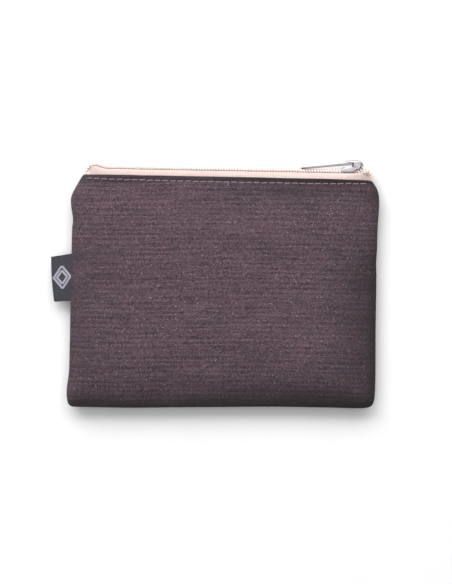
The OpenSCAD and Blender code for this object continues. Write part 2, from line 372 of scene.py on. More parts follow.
def panel_points(side, fine):
    """Outer surface of the front (1) or back (-1) panel as a (rows, columns, 3) array."""
    (flat_x, edge_x), (flat_y, edge_y) = stations(fine)
    y0 = (flat_y - BOTTOM_W * np.sin(edge_y * math.pi / 2))[:, None]
    p, q = np.broadcast_arrays(edge_x[None, :], edge_y[:, None])
    deepest = np.maximum(p, q)
    norm = np.maximum((p ** CORNER_POWER + q ** CORNER_POWER) ** (1 / CORNER_POWER), 1e-9)
    rho = np.sin(deepest * math.pi / 2)
    out_x, out_y = rho * p / norm, rho * q / norm
    on_left = flat_x[None, :] < 0
    reach = np.where(on_left, left_edge(y0), right_edge(y0))
    edge_w = np.where(on_left, LEFT_W, RIGHT_W)
    x = (reach - edge_w) * flat_x[None, :] + np.sign(flat_x[None, :]) * edge_w * out_x
    y = flat_y[:, None] - BOTTOM_W * out_y
    shift = (bottom_edge(x) - BOTTOM_Y) * (1 - smooth_step(y, BOTTOM_Y, 20))
    lip = smooth_step(y, FOLD_Y - LIP_LENGTH, FOLD_Y + 4) * (1 - 0.7 * smooth_step(x, -20, 30))
    height = HALF_T - FILL_RISE - SEAM_R - (LIP_DROP - FILL_RISE) * 1.3 * lip
    z = SEAM_R + height * np.cos(deepest * math.pi / 2) ** EDGE_POWER
    return np.stack([x, y + shift, MID_Z + side * z], axis=-1)


def relax(field, passes):
    """Evens out a grid of points or moves in place, and leaves its border as it is."""
    for _ in range(passes):
        middle = (field[:-2, 1:-1] + field[2:, 1:-1] + field[1:-1, :-2] + field[1:-1, 2:]) / 4
        field[1:-1, 1:-1] += 0.5 * (middle - field[1:-1, 1:-1])
    return field


def spread(coarse, fine):
    """A coarse field of values on the panel grid, brought to the fine grid along smooth curves."""
    once = spline(coarse.reshape(len(coarse), -1), fine).reshape(-1, *coarse.shape[1:])
    turned = np.swapaxes(once, 0, 1)
    twice = spline(turned.reshape(len(turned), -1), fine).reshape(-1, *turned.shape[1:])
    return np.swapaxes(twice, 0, 1)


# ---- cloth simulation of the filled shape
SIM_SCALE = 10.0  # the cloth is simulated this much larger than life
SIM_CAP = 1.4  # the furthest that a point may move
SIM_FRAMES = 20
SIM_SETTINGS = {
    "quality": 6, "mass": 0.4, "tension_stiffness": 60, "compression_stiffness": 60, "shear_stiffness": 30,
    "bending_stiffness": 5.0, "use_pressure": True, "uniform_pressure_force": 0.22, "shrink_min": -0.002,
}


def border_loop(ids):
    """The numbers along the border of a grid, once round."""
    return np.concatenate([run[:-1] for run in (ids[::-1, 0], ids[0], ids[:, -1], ids[-1, ::-1])])


def simulate_fill():
    """How far each coarse grid point of the front and back panels moves when the pouch is filled."""
    grids = [panel_points(side, 1) for side in (1, -1)]
    rows, cols = grids[0].shape[:2]
    start = np.concatenate([g.reshape(-1, 3) for g in grids])
    ids = np.arange(rows * cols).reshape(rows, cols)
    front, rear = border_loop(ids), border_loop(ids + rows * cols)
    no_uvs = np.zeros((rows, cols, 2))
    faces = np.vstack([grid(grids[0], no_uvs).faces, grid(grids[0], no_uvs, flip=True).faces + rows * cols,
                       np.column_stack([front, rear, np.roll(rear, -1), np.roll(front, -1)])])
    mesh = bpy.data.meshes.new("fill")
    mesh.from_pydata((start * MM * SIM_SCALE).tolist(), [], faces.tolist())
    body = link("fill", mesh)
    scene = bpy.context.scene
    held = body.vertex_groups.new(name="held")
    held.add([int(v) for v in np.concatenate([front, rear])], 1.0, "REPLACE")
    settings = body.modifiers.new("cloth", "CLOTH").settings
    for key, value in SIM_SETTINGS.items():
        setattr(settings, key, value)
    settings.vertex_group_mass = held.name
    settings.effector_weights.gravity = 0
    for number in range(1, SIM_FRAMES + 1):
        scene.frame_set(number)
    evaluated = body.evaluated_get(bpy.context.evaluated_depsgraph_get())
    end = np.zeros(len(start) * 3)
    evaluated.data.vertices.foreach_get("co", end)
    scene.frame_set(1)
    bpy.data.objects.remove(body)
    moved = end.reshape(-1, 3) / (MM * SIM_SCALE) - start
    length = np.linalg.norm(moved, axis=1, keepdims=True)
    moved *= np.minimum(1, SIM_CAP / np.maximum(length, 1e-9))
    return [part.reshape(rows, cols, 3) for part in np.split(moved, 2)]


def surface_waves(side, points):
    """How far the cloth stands out or in, in mm: slow waves, the sewn-down stitch line and small puckers."""
    x, y = points[..., 0], points[..., 1]
    stitches = stitch_line(x)
    slow = (0.22 * np.sin(x * 0.09 + 0.7 + side) * np.sin(y * 0.075 + 1.1)
            + 0.14 * np.sin(x * 0.19 - y * 0.12 + 2)
            + 0.10 * np.sin(y * 0.31 + x * 0.05))
    slow *= smooth_step(FOLD_Y - y, 2, 16) * smooth_step(y - BOTTOM_Y, 2, 14)
    slow *= smooth_step(62 - np.abs(x), 0, 14)
    sewn_down = -0.22 * bump(y, stitches, 0.55) * smooth_step(60 - np.abs(x), 0, 2)
    puff = 0.10 * bump(y, stitches - 2.6, 1.6)
    pucker = 0.06 * np.sin(x * math.pi / STITCH_PITCH) * bump(y, stitches - 1.2, 1.8)
    if side < 0:
        return -(slow * BACK_WAVES + sewn_down + puff + pucker)
    hollow = -0.5 * bump(y, 41.5, 4.2) * smooth_step(x, 0, 22) * smooth_step(61 - x, 0, 12)
    hem = 0.10 * np.sin(x * 0.55 + 0.4) * bump(y, BOTTOM_Y + 4.5, 3)
    sides = 0.10 * np.sin(y * 0.5) * bump(np.abs(x), 60, 3)
    return slow + hollow + sewn_down + puff + pucker + hem + sides


def stitch_line(x):
    """Y of the topstitching, a little nearer the fold at both ends."""
    return STITCH_Y + 0.45 * np.abs(np.asarray(x) / 56) ** 3


PANEL_CACHE = {}
FILL = simulate_fill()


def outer_surface(side):
    """The final outer surface of a panel on the fine grid, its UVs and its normals."""
    if side not in PANEL_CACHE:
        points = panel_points(side, FINE)
        points = points + spread(relax(FILL[0 if side > 0 else 1].copy(), 2), FINE)
        points[..., 2] += surface_waves(side, points) * np.minimum(1, np.abs(points[..., 2] - MID_Z) / 3)
        points = relax(points, 2)
        if side < 0:
            points[..., 2] = np.maximum(points[..., 2], REST_Z)
        uvs = thread_lengths(points)
        patch = grid(points, uvs, flip=side < 0)
        PANEL_CACHE[side] = points, uvs, normals(patch).reshape(points.shape)
    return PANEL_CACHE[side]


def thread_lengths(points):
    """UVs in mm along the threads: u from the middle, and v up the middle of the panel, counted as Y is."""
    weft = np.linalg.norm(np.diff(points, axis=1), axis=-1)
    warp = np.linalg.norm(np.diff(points, axis=0), axis=-1)
    u = np.concatenate([np.zeros((len(points), 1)), np.cumsum(weft, axis=1)], axis=1)
    v = np.concatenate([np.zeros((1, points.shape[1])), np.cumsum(warp, axis=0)], axis=0)
    column, row = middle_column(points), EDGE_SPANS * FINE
    return np.stack([u - u[:, column:column + 1], v - v[row:row + 1] + BOTTOM_Y + BOTTOM_W], axis=-1)


def lip_height(x, side):
    """Z of the panel's outer surface along the zip fold."""
    points = outer_surface(side)[0][-1]
    return np.interp(x, points[:, 0], points[:, 2])


def middle_column(points):
    """The column of a panel's grid that runs up its middle."""
    return points.shape[1] // 2


# ---- materials
class Nodes:
    """A short way to build a node material."""

    def __init__(self, name, **constants):
        self.material = bpy.data.materials.new(name)
        self.material.use_nodes = True
        self.tree = self.material.node_tree
        self.tree.nodes.clear()
        self.shader = self.add("BsdfPrincipled")
        output = self.add("OutputMaterial")
        self.tree.links.new(self.shader.outputs[0], output.inputs[0])
        for key, value in constants.items():
            self.shader.inputs[key.replace("_", " ")].default_value = value

    def add(self, kind, inputs=None, **properties):
        node = self.tree.nodes.new("ShaderNode" + kind)
        for key, value in properties.items():
            setattr(node, key, value)
        for key, value in (inputs or {}).items():
            self.feed(node.inputs[key], value)
        return node

    def feed(self, socket, value):
        if isinstance(value, bpy.types.NodeSocket):
            self.tree.links.new(value, socket)
        elif isinstance(value, bpy.types.Node):
            self.tree.links.new(value.outputs[0], socket)
        else:
            socket.default_value = value

    def math(self, operation, a, b=0.0, c=0.0):
        return self.add("Math", {0: a, 1: b, 2: c}, operation=operation).outputs[0]

    def uv(self):
        return self.add("UVMap", uv_map="weave").outputs[0]

    def place(self, x, y, z):
        return self.add("CombineXYZ", {0: x, 1: y, 2: z}).outputs[0]

    def plus(self, a, b):
        return self.math("ADD", a, b)

    def times(self, a, b):
        return self.math("MULTIPLY", a, b)

    def times_plus(self, a, b, c):
        return self.math("MULTIPLY_ADD", a, b, c)

    def wave(self, value, length):
        return self.math("SINE", self.times(value, 2 * math.pi / length))

    def index(self, value, pitch):
        return self.math("FLOOR", self.math("DIVIDE", value, pitch))

    def scaled(self, vector, x, y, z=1.0):
        return self.add("VectorMath", {0: vector, 1: (x, y, z)}, operation="MULTIPLY").outputs[0]

    def noise(self, vector, scale, detail=2.0, roughness=0.5):
        settings = {"Vector": vector, "Scale": scale, "Detail": detail, "Roughness": roughness}
        return self.add("TexNoise", settings).outputs[0]

    def white(self, vector):
        return self.add("TexWhiteNoise", {"Vector": vector}, noise_dimensions="3D").outputs[0]

    def ramp(self, value, low, high, to_low=0.0, to_high=1.0):
        return self.add("MapRange", {0: value, 1: low, 2: high, 3: to_low, 4: to_high}).outputs[0]

    def pick(self, factor, a, b):
        return self.add("Mix", {0: factor, 2: a, 3: b}, data_type="FLOAT").outputs[0]

    def mix(self, factor, a, b):
        return self.add("Mix", {0: factor, 6: a, 7: b}, data_type="RGBA").outputs[2]

    def bump(self, height, distance, strength=1.0):
        node = self.add("Bump", {"Height": height, "Distance": distance * MM, "Strength": strength})
        self.feed(self.shader.inputs["Normal"], node.outputs[0])

    def colour(self, value):
        self.feed(self.shader.inputs["Base Color"], value)

    def roughness(self, value):
        self.feed(self.shader.inputs["Roughness"], value)


def rgb(red, green, blue):
    """A linear colour from sRGB values of 0 to 255."""
    def linear(value):
        value /= 255
        return value / 12.92 if value <= 0.04045 else ((value + 0.055) / 1.055) ** 2.4
    return (linear(red), linear(green), linear(blue), 1.0)


def plain_weave(n, warp_pitch, weft_pitch):
    """A plain weave over the UVs: its height, place, thread numbers, and the thread that lies on top."""
    split = n.add("SeparateXYZ", {0: n.uv()})
    u, v = split.outputs[0], split.outputs[1]
    column, row = n.index(u, warp_pitch), n.index(v, weft_pitch)
    weft_on_top = n.math("PINGPONG", n.plus(column, row), 1.0)
    round_warp, round_weft = (n.math("SINE", n.times(n.math("FRACT", n.math("DIVIDE", at, pitch)), math.pi))
                              for at, pitch in ((u, warp_pitch), (v, weft_pitch)))
    weft = n.times(round_weft, n.times_plus(round_warp, 0.45, 0.55))
    warp = n.times(round_warp, n.times_plus(round_weft, 0.45, 0.55))
    return SimpleNamespace(u=u, v=v, column=column, row=row, weft_on_top=weft_on_top,
                           height=n.pick(weft_on_top, warp, weft), cell=n.place(column, row, 0.0))


# The outer cloth, lengths in mm
WARP_PITCH, WEFT_PITCH, RIB_LENGTH = 0.36, 0.42, 2.07
DARK_YARN, MAIN_YARN, PALE_YARN = rgb(40, 29, 36), rgb(84.5, 66, 76), rgb(125, 100, 113)
WARM, COOL, BROWN, FLECK = rgb(106, 74, 82), rgb(78, 70, 84), rgb(87, 71, 72), rgb(214, 190, 200)
# Painted shade, mixed into the cloth's colour along the seams and under the fold, and the most of it that any
# place takes
PAINTED_SHADE = rgb(30, 27, 27)
MOST_PAINTED_SHADE = 0.88


def cloth_tone(n, w, grain, row_shade):
    """How pale each place of the outer cloth is, from 0 to 1: threads, streaks, slubs and a faint rib."""
    column_shade = n.noise(n.place(n.times(w.column, 5.37), n.times(w.v, 0.10), 9.0), 1.0, 1.0, 0.6)
    slub = n.noise(n.scaled(n.uv(), 0.09, 1.6), 1.0, 3.0, 0.6)
    tone = n.times_plus(n.wave(w.v, RIB_LENGTH), 0.09, 0.5)
    for part, share in ((grain, 0.72), (row_shade, 1.05), (column_shade, 0.16), (slub, 0.2)):
        tone = n.plus(tone, n.times_plus(part, share, -share / 2))
    return tone


def painted_cloth_shade(n, u, v):
    """How much painted shade each place of the outer cloth takes: along the seams and under the fold."""
    rightwards = n.ramp(u, -55.0, 25.0)
    low = n.ramp(v, BOTTOM_Y + 15.0, BOTTOM_Y + 1.5)
    low_bend = n.times_plus(n.math("SUBTRACT", 1.0, rightwards), low, rightwards)
    right = n.math("POWER", n.times(n.ramp(u, 36.0, 61.0), n.ramp(v, 33.0, 12.0)), 1.3)
    left = n.times(n.ramp(u, -40.0, -62.0), n.ramp(v, 30.0, 10.0))
    right_rim = n.ramp(u, 61.0, 66.0)
    under_fold = n.times(n.ramp(v, FOLD_Y - 15.0, FOLD_Y - 5.0), n.ramp(u, -20.0, 30.0))
    fold = n.ramp(v, FOLD_Y - 2.6, FOLD_Y - 1.0)
    shade = n.times(n.times(low, low_bend), n.times_plus(rightwards, 0.2, 0.68))
    for place, share in ((right, 0.6), (left, 0.25)):
        shade = n.math("MAXIMUM", shade, n.times(place, share))
    for place, share in ((right_rim, 0.4), (under_fold, 0.4), (fold, 0.55)):
        shade = n.times_plus(place, share, shade)
    return n.math("MINIMUM", shade, MOST_PAINTED_SHADE)


def outer_cloth_material():
    n = Nodes("outer_cloth", Roughness=0.88, Sheen_Weight=0.06, Sheen_Roughness=0.5)
    w = plain_weave(n, WARP_PITCH, WEFT_PITCH)
    row_shade = n.noise(n.place(n.times(w.u, 0.05), n.times(w.row, 5.37), 0.0), 1.0, 2.0, 0.6)
    weft_fibre = n.noise(n.place(n.times(w.u, 3.1), n.times(w.row, 7.31), 4.0), 1.0, 2.0, 0.7)
    warp_fibre = n.noise(n.place(n.times(w.column, 7.31), n.times(w.v, 3.1), 6.0), 1.0, 2.0, 0.7)
    fibre = n.plus(n.pick(w.weft_on_top, warp_fibre, weft_fibre), -0.5)
    grain = n.times_plus(fibre, 3.0, n.white(w.cell))
    ramp = n.add("ValToRGB", {0: cloth_tone(n, w, grain, row_shade)})
    ramp.color_ramp.elements[0].color = DARK_YARN
    ramp.color_ramp.elements[1].color = PALE_YARN
    ramp.color_ramp.elements.new(0.5).color = MAIN_YARN
    hue = n.noise(n.uv(), 0.17, 3.0, 0.6)
    dyed = n.mix(n.ramp(hue, 0.52, 0.72, 0.0, 0.32), ramp.outputs[0], WARM)
    dyed = n.mix(n.ramp(hue, 0.30, 0.46, 0.28, 0.0), dyed, COOL)
    dyed = n.mix(n.ramp(n.noise(n.uv(), 0.11, 2.0), 0.55, 0.75, 0.0, 0.3), dyed, BROWN)
    # Painted shade along the seams and under the fold, mixed into the yarn's colour; the flecks are dimmed by
    # it too
    shade = painted_cloth_shade(n, w.u, w.v)
    # Painted shade: the yarn is darkened towards black where the weave is low, in the gaps between the
    # threads
    yarn = n.mix(n.ramp(w.height, 0.05, 0.75, 0.70, 1.0), (0, 0, 0, 1), n.mix(shade, dyed, PAINTED_SHADE))
    fleck_cell = n.add("VectorMath", {0: w.cell, 1: (17.0, 31.0, 5.0)}, operation="ADD")
    fleck = n.times(n.ramp(n.white(fleck_cell), 0.984, 1.0, 0.0, 0.95), n.ramp(w.height, 0.35, 0.85))
    n.colour(n.mix(n.times(fleck, n.ramp(shade, 0.0, 0.8, 1.0, 0.2)), yarn, FLECK))
    relief = n.plus(w.height, n.times(row_shade, 0.9))
    n.bump(n.plus(relief, n.times(grain, 0.25)), 0.09, 0.8)
    n.roughness(n.ramp(grain, 0.0, 1.0, 0.82, 0.94))
    return n.material


def fleece_material():
    n = Nodes("fleece", Roughness=0.95, Sheen_Weight=0.3)
    fibre = n.noise(n.uv(), 2.2, 4.0, 0.7)
    n.colour(n.mix(n.ramp(fibre, 0.3, 0.7), rgb(206, 202, 196), rgb(240, 238, 233)))
    n.bump(fibre, 0.4, 0.8)
    return n.material


def fine_weave_material(name, pitches, relief, low, high, dark, dark_share, **constants):
    """A smooth, fine plain weave, each weft thread between two colours and each crossing a little darker."""
    n = Nodes(name, **constants)
    w = plain_weave(n, *pitches)
    thread = n.mix(n.white(n.place(0.0, w.row, 3.0)), low, high)
    n.colour(n.mix(n.times(n.white(w.cell), dark_share), thread, dark))
    n.bump(w.height, *relief)
    return n.material


def tape_material():
    """Tape with a small herringbone, which shows in its relief and in painted shade in its hollows, which are
    pinker and darker; where it runs under the panel's fold it is darker still, a painted shadow.
    """
    n = Nodes("zip_tape", Roughness=0.75, Sheen_Weight=0.25)
    w = plain_weave(n, 0.34, 0.26)
    bones = n.times(n.wave(w.u, 1.15), n.wave(w.v, 0.95))
    base = n.mix(n.white(w.cell), rgb(242, 231, 224), rgb(254, 248, 242))
    # Painted shade: the herringbone's hollows are darker and pinker
    weave = n.mix(n.ramp(bones, 0.5, -0.6, 0.0, 1.0), base, rgb(224, 194, 186))
    speckle = n.white(n.place(n.index(w.u, 0.9), n.index(w.v, 0.52), 7.0))
    weave = n.mix(n.ramp(speckle, 0.55, 1.0, 0.0, 0.45), weave, rgb(216, 178, 170))
    # Painted shadow: the tape darkens across its width where it runs down under the panel's fold
    n.colour(n.mix(n.ramp(w.v, 3.9, 5.0, 0.0, 0.35), weave, rgb(205, 168, 162)))
    n.bump(n.plus(n.times(w.height, 0.6), n.times(bones, 0.5)), 0.10, 0.9)
    return n.material


def coil_material():
    n = Nodes("zip_coil", Roughness=0.4, Subsurface_Weight=0.15, Subsurface_Scale=0.0006)
    cloudy = n.noise(n.uv(), 1.4, 2.0)
    n.colour(n.mix(cloudy, rgb(247, 230, 223), rgb(252, 240, 234)))
    n.roughness(n.ramp(cloudy, 0.3, 0.7, 0.34, 0.48))
    n.bump(cloudy, 0.02, 0.5)
    return n.material


def thread_material(name, low, high):
    """Twisted thread: slanting plies between two colours, the darker of them a painted shade in the grooves
    between the plies.
    """
    n = Nodes(name, Roughness=0.7, Sheen_Weight=0.2)
    split = n.add("SeparateXYZ", {0: n.uv()})
    slant = n.plus(split.outputs[0], n.times(split.outputs[1], 1.2))
    twist = n.math("SINE", n.times(slant, 16.0))
    # Painted shade: the colour is darker where the twist's relief is low
    n.colour(n.mix(n.ramp(twist, -1.0, 1.0), low, high))
    n.bump(twist, 0.03, 0.8)
    return n.material


def metal_material(name, colour, roughness):
    """Plated metal with cloudy wear and fine scratches along X."""
    n = Nodes(name, Metallic=1.0, Roughness=roughness)
    place = n.add("TexCoord").outputs["Object"]
    cloudy = n.noise(place, 900.0, 3.0)
    scratches = n.noise(n.scaled(place, 300.0, 6000.0, 6000.0), 1.0, 2.0)
    worn = tuple(c * 0.82 for c in colour[:3]) + (1.0,)
    n.colour(n.mix(n.ramp(cloudy, 0.35, 0.75), colour, worn))
    relief = n.plus(cloudy, scratches)
    n.roughness(n.ramp(relief, 0.6, 1.4, roughness - 0.07, roughness + 0.12))
    n.bump(relief, 0.012, 0.5)
    return n.material


OUTER_CLOTH = outer_cloth_material()
FLEECE = fleece_material()
LINING = fine_weave_material("lining_cloth", (0.22, 0.22), (0.04, 0.7), rgb(66, 55, 62), rgb(82, 69, 77),
                             rgb(58, 48, 55), 0.3, Roughness=0.6, Sheen_Weight=0.2)
TAPE = tape_material()
COIL = coil_material()
THREAD = thread_material("sewing_thread", rgb(132, 107, 116), rgb(178, 151, 159))
CORD = thread_material("zip_cord", rgb(240, 220, 212), rgb(250, 234, 228))
MARK_THREAD = thread_material("mark_thread", rgb(200, 196, 214), rgb(228, 224, 238))
NICKEL = metal_material("slider_metal", (0.50, 0.475, 0.485, 1.0), 0.30)
# Painted shade: the pull tab takes the slider's finish, but in this darker copy of its metal
TAB_NICKEL = metal_material("pull_tab_metal", (0.36, 0.33, 0.33, 1.0), 0.34)
STEEL = metal_material("spring_steel", (0.52, 0.52, 0.54, 1.0), 0.35)
RIBBON = fine_weave_material("label_ribbon", (0.16, 0.22), (0.035, 0.8), rgb(37, 37, 49), rgb(50, 50, 64),
                             rgb(30, 30, 40), 0.35, Roughness=0.55, Sheen_Weight=0.25)


# ---- panels and their layers
CLOTH_T, FLEECE_T, LINING_T = 0.38, 1.1, 0.25
FOLD_R = 0.41
ALLOWANCE = 6.3  # the cloth turned under along the zip
SEAM_STUB = 1.6  # the part of the seam allowance that is modelled
# How deep each inner layer lies, how far below the fold it is trimmed, and the rings that it stops short of
FLEECE_DEPTH, FLEECE_TRIM = 0.45, 7.4
LINING_DEPTH, LINING_TRIM = 1.75, 0.6
RINGS_SHORT = 4


def seam_strip(side, points, uvs):
    """The cloth's turn into the seam along the left side, the bottom and the right side."""
    border = np.concatenate([points[::-1, 0], points[0, 1:-1], points[:, -1]])
    border_uv = np.concatenate([uvs[::-1, 0], uvs[0, 1:-1], uvs[:, -1]])
    run = np.gradient(border, axis=0)
    out = np.stack([run[:, 1], -run[:, 0], np.zeros(len(run))], axis=-1)
    out /= np.maximum(np.linalg.norm(out, axis=1, keepdims=True), 1e-9)
    out *= np.sign((out * (border - points.mean(axis=(0, 1)))).sum(axis=1).mean())
    down = np.array([0, 0, -side], float)
    rings, ring_uv = [border], [border_uv]
    for angle in np.radians([22, 45, 67, 85]):
        rings.append(border - out * SEAM_R * (1 - np.cos(angle)) + down * (SEAM_R - 0.03) * np.sin(angle))
        ring_uv.append(border_uv + out[:, :2] * SEAM_R * angle)
    rings.append(rings[-1] - out * SEAM_STUB)
    ring_uv.append(ring_uv[-1] + out[:, :2] * SEAM_STUB)
    middle = len(points) - 1 + middle_column(points)
    return grid(np.array(rings), np.array(ring_uv), flip=side > 0, cut=middle)


def fold_rows(side, points, uvs, out):
    """The rows that turn under along the zip and run back beneath the panel."""
    along = points[-1] - points[-2]
    along /= np.linalg.norm(along, axis=1, keepdims=True)
    centre = points[-1] - out[-1] * FOLD_R
    rows, row_uv = [points[-1]], [uvs[-1]]
    step = np.array([0.0, 1.0])
    for angle in np.radians([25, 50, 75, 105, 130, 155, 180]):
        rows.append(centre + FOLD_R * (out[-1] * np.cos(angle) + along * np.sin(angle)))
        row_uv.append(uvs[-1] + step * FOLD_R * angle)
    back = np.where(points[:, middle_column(points), 1] > FOLD_Y - ALLOWANCE)[0][::-1][1::2]
    for row in back:
        rows.append(points[row] - out[row] * 2 * FOLD_R)
        row_uv.append(uvs[-1] + step * (FOLD_R * math.pi + uvs[-1] - uvs[row]))
    return grid(np.array(rows), np.array(row_uv), flip=side < 0, cut=middle_column(points))


def cloth_panel(side):
    """The outer cloth of one half, turned in at the seams and under along the zip."""
    points, uvs, out = outer_surface(side)
    main = grid(points, uvs, flip=side < 0, cut=middle_column(points))
    return weld(join(main, seam_strip(side, points, uvs), fold_rows(side, points, uvs, out)))


def layer(side, depth, trim):
    """An inner layer of one half, trimmed along the zip and a few rings short of the seam."""
    points, uvs, out = outer_surface(side)
    points = points - out * depth
    rows = points[:, middle_column(points), 1] < FOLD_Y - trim
    inside = slice(RINGS_SHORT, None), slice(RINGS_SHORT, -RINGS_SHORT)
    return grid(points[rows][inside], uvs[rows][inside], flip=side < 0,
                cut=middle_column(points) - RINGS_SHORT)


PADS = ("front_interlining", "back_interlining")
add_both(("front_panel", "back_panel_cloth"), cloth_panel, OUTER_CLOTH, "outer_cloth",
         ["front_panel"], "back_panel", CLOTH_T, "stretched", PADS)
pads = add_both(("front_fleece", "back_fleece"), lambda side: layer(side, FLEECE_DEPTH, FLEECE_TRIM),
                FLEECE, "fleece", PADS[:1], PADS[1], FLEECE_T)
add_both(("front_lining_cloth", "back_lining_cloth"), lambda side: layer(side, LINING_DEPTH, LINING_TRIM),
         LINING, "lining_cloth", ["front_lining"], "back_lining", LINING_T, "stretched", PADS)


# ---- zip tape and coil
ROUTE_STEP = 0.5
COIL_PITCH, PER_TURN = 1.15, 14
WIRE_R, CORD_R, TAPE_T = 0.37, 0.42, 0.4
# The middle of a coil loop: how far it stands off the tape and from the zip's own middle, and its half sizes
LOOP_RISE, LOOP_HALF_H = 0.88, 0.5
LOOP_OFF, LOOP_HALF_D = 1.05, 0.84

# Route of the zip's middle line, seen from the front: its tape's outer face in (X, Y)
ZIP_ROUTE = [(-58.3, 46.6), (-58.3, 48.2), (-58.0, 49.7), (-57.2, 51.0), (-55.9, 51.9), (-54.3, 52.1),
             (-52.8, 51.7), (-51.4, 51.2), (-49.5, 51.0), (-46.0, 51.0), (-30.0, 51.0), (0.0, 51.05),
             (30.0, 51.1), (50.0, 51.1), (55.5, 51.3), (58.0, 51.75), (59.6, 51.4), (60.8, 50.0),
             (61.3, 48.3), (61.3, 46.8)]


def zip_route():
    """Even stations on the zip's route: how far along they are, their points and their outward normals."""
    curve = spline(ZIP_ROUTE, 24)
    run = run_along(curve)
    count = int(run[-1] / ROUTE_STEP)
    even = np.linspace(0, run[-1], count + 1)
    at = np.stack([np.interp(even, run, curve[:, k]) for k in (0, 1)], axis=-1)
    tangent = np.gradient(at, axis=0)
    tangent /= np.linalg.norm(tangent, axis=1, keepdims=True)
    normal = np.stack([-tangent[:, 1], tangent[:, 0]], axis=-1)
    return even, at, normal


def zip_pinch(x):
    """How much narrower the chain is where its ends are sewn into the side seams."""
    return 1 - 0.72 * smooth_step(-x, 55.5, 58.4) - 0.72 * smooth_step(x, 59.0, 61.4)


def tape(side):
    """The woven tape of one zip edge, from under the coil, over the bend and down under the panel."""
    even, at, normal = zip_route()
    points, uvs = [], []
    for run, base, out in zip(even, at, normal):
        # Seen from the end, the tape runs out under the coil, bends down and slips under the panel's fold
        x = base[0]
        pinch = float(zip_pinch(x))
        lip_z = side * (float(lip_height(x, side)) - MID_Z)
        fold_z = min(lip_z - 2 * FOLD_R - 0.1, 4.1 * pinch)
        bend = min(3.25 * pinch, fold_z + 0.2)
        foot = min(FOLD_Y + 0.6, base[1] - 1.3)
        inner_x = x * (1 - 0.02 * smooth_step(abs(x), 50, 60))
        profile = [(base[0], base[1], 0.35), (base[0], base[1], 2.5 * pinch),
                   (*(base - out * 0.12), bend - 0.12), (*(base - out * 0.65), bend + 0.08),
                   (x, foot, bend * 0.4 + fold_z * 0.6), (x, foot - 1.0, fold_z),
                   (inner_x, min(foot - 2, FOLD_Y - 3), fold_z + 0.2), (inner_x, FOLD_Y - 6, fold_z + 0.35)]
        line = spline(profile, 4)
        points.append(np.column_stack([line[:, 0], line[:, 1], MID_Z + side * line[:, 2]]))
        across = run_along(line)
        uvs.append(np.column_stack([np.full(len(line), run), across]))
    points, uvs = np.array(points).swapaxes(0, 1), np.array(uvs).swapaxes(0, 1)
    cut = int(np.argmin(np.abs(points[0, :, 0])))
    return grid(points, uvs, flip=side > 0, cut=cut)


def mark_halves(patch):
    """The patch, each of its quads marked by the side of the middle that it lies on."""
    patch.halves = np.where(patch.verts[patch.faces][:, :, 0].mean(axis=1) < 0, -1, 1)
    return patch


def coil(side):
    """One coil row: a monofilament wound in flat loops that lie on the tape."""
    even, at, normal = zip_route()
    start = 0.0 if side > 0 else COIL_PITCH / 2
    turns = np.arange(int(even[-1] / COIL_PITCH - 2) * PER_TURN + 1) / PER_TURN
    run = start + 0.6 + turns * COIL_PITCH
    angle = turns * 2 * math.pi
    x = np.interp(run, even, at[:, 0])
    y = np.interp(run, even, at[:, 1])
    out = np.stack([np.interp(run, even, normal[:, k]) for k in (0, 1)], axis=-1)
    round_cos = np.sign(np.cos(angle)) * np.abs(np.cos(angle)) ** 0.7
    round_sin = np.sign(np.sin(angle)) * np.abs(np.sin(angle)) ** 0.75
    height = (LOOP_RISE + LOOP_HALF_H * round_sin) * (0.55 + 0.45 * zip_pinch(x))
    depth = (LOOP_OFF - LOOP_HALF_D * round_cos) * zip_pinch(x)
    path = np.column_stack([x + out[:, 0] * height, y + out[:, 1] * height, MID_Z + side * depth])
    return mark_halves(tube(path, WIRE_R))


def filler_cord(side):
    """The cord that runs inside the loops of one coil row."""
    even, at, normal = zip_route()
    inside = slice(2, -2)
    centre = at[inside] + normal[inside] * LOOP_RISE
    path = np.column_stack([centre, MID_Z + side * LOOP_OFF * zip_pinch(centre[:, 0])])
    return mark_halves(tube(path, CORD_R))


add_both(("front_zip_tape", "rear_zip_tape_cloth"), tape, TAPE, "zip_tape",
         ["front_zip_tape", "front_tape_ends"], "rear_zip_tape", TAPE_T,
         "folded", ("front_panel", "back_panel"))
add_both(("front_coil", "rear_coil_turns"), coil, COIL, "zip_coil",
         ["front_coil", "front_coil_ends"], "rear_coil")
add_both(("front_filler_cord", "rear_filler_cord"), filler_cord, CORD, "zip_cord",
         ["front_coil_cord"], "rear_coil_cord")


# ---- stitching
STITCH_L = 2.25
THREAD_R = 0.2
ACROSS = range(-18, 19)  # numbers of the stitches across the pouch, with 0 near the middle
# A topstitch: places along it as shares of its length, and how far it stands over the cloth there
STITCH_ALONG = (-0.50, -0.47, -0.25, 0.0, 0.25, 0.47, 0.50)
STITCH_RISE = (-0.42, 0.02, 0.12, 0.14, 0.12, 0.02, -0.42)


def surface_z(x, y, side):
    """Z of the panel's outer surface over a point."""
    points = outer_surface(side)[0]
    line = points[:, np.abs(points[-8, :, 0] - x).argmin()]
    return float(np.interp(y, line[:, 1], line[:, 2]))


def topstitching(side):
    """The row of stitches along the zip fold, each sunk into the cloth at both ends."""
    stitches = []
    for number in ACROSS:
        middle = number * STITCH_PITCH + 0.4
        level = float(stitch_line(middle)) + 0.05 * math.sin(number * 2.1)
        slant = 0.075 + 0.03 * math.sin(number * 1.7)
        path = []
        for share, rise in zip(STITCH_ALONG, STITCH_RISE):
            along = share * STITCH_L
            x, y = middle + along, level + along * slant
            path.append((x, y, surface_z(x, y, side) + side * rise))
        stitches.append(tube(spline(path, 2), THREAD_R, half=-1 if middle < 0 else 1))
    return join(*stitches)


add_both(("front_topstitching", "rear_topstitching"), topstitching, THREAD, "sewing_thread",
         ["front_topstitch"], "rear_topstitch")


# ---- slider, lock and pull tab
BEVEL_ANGLE = 28  # edges that turn by more than this, in degrees, are rounded


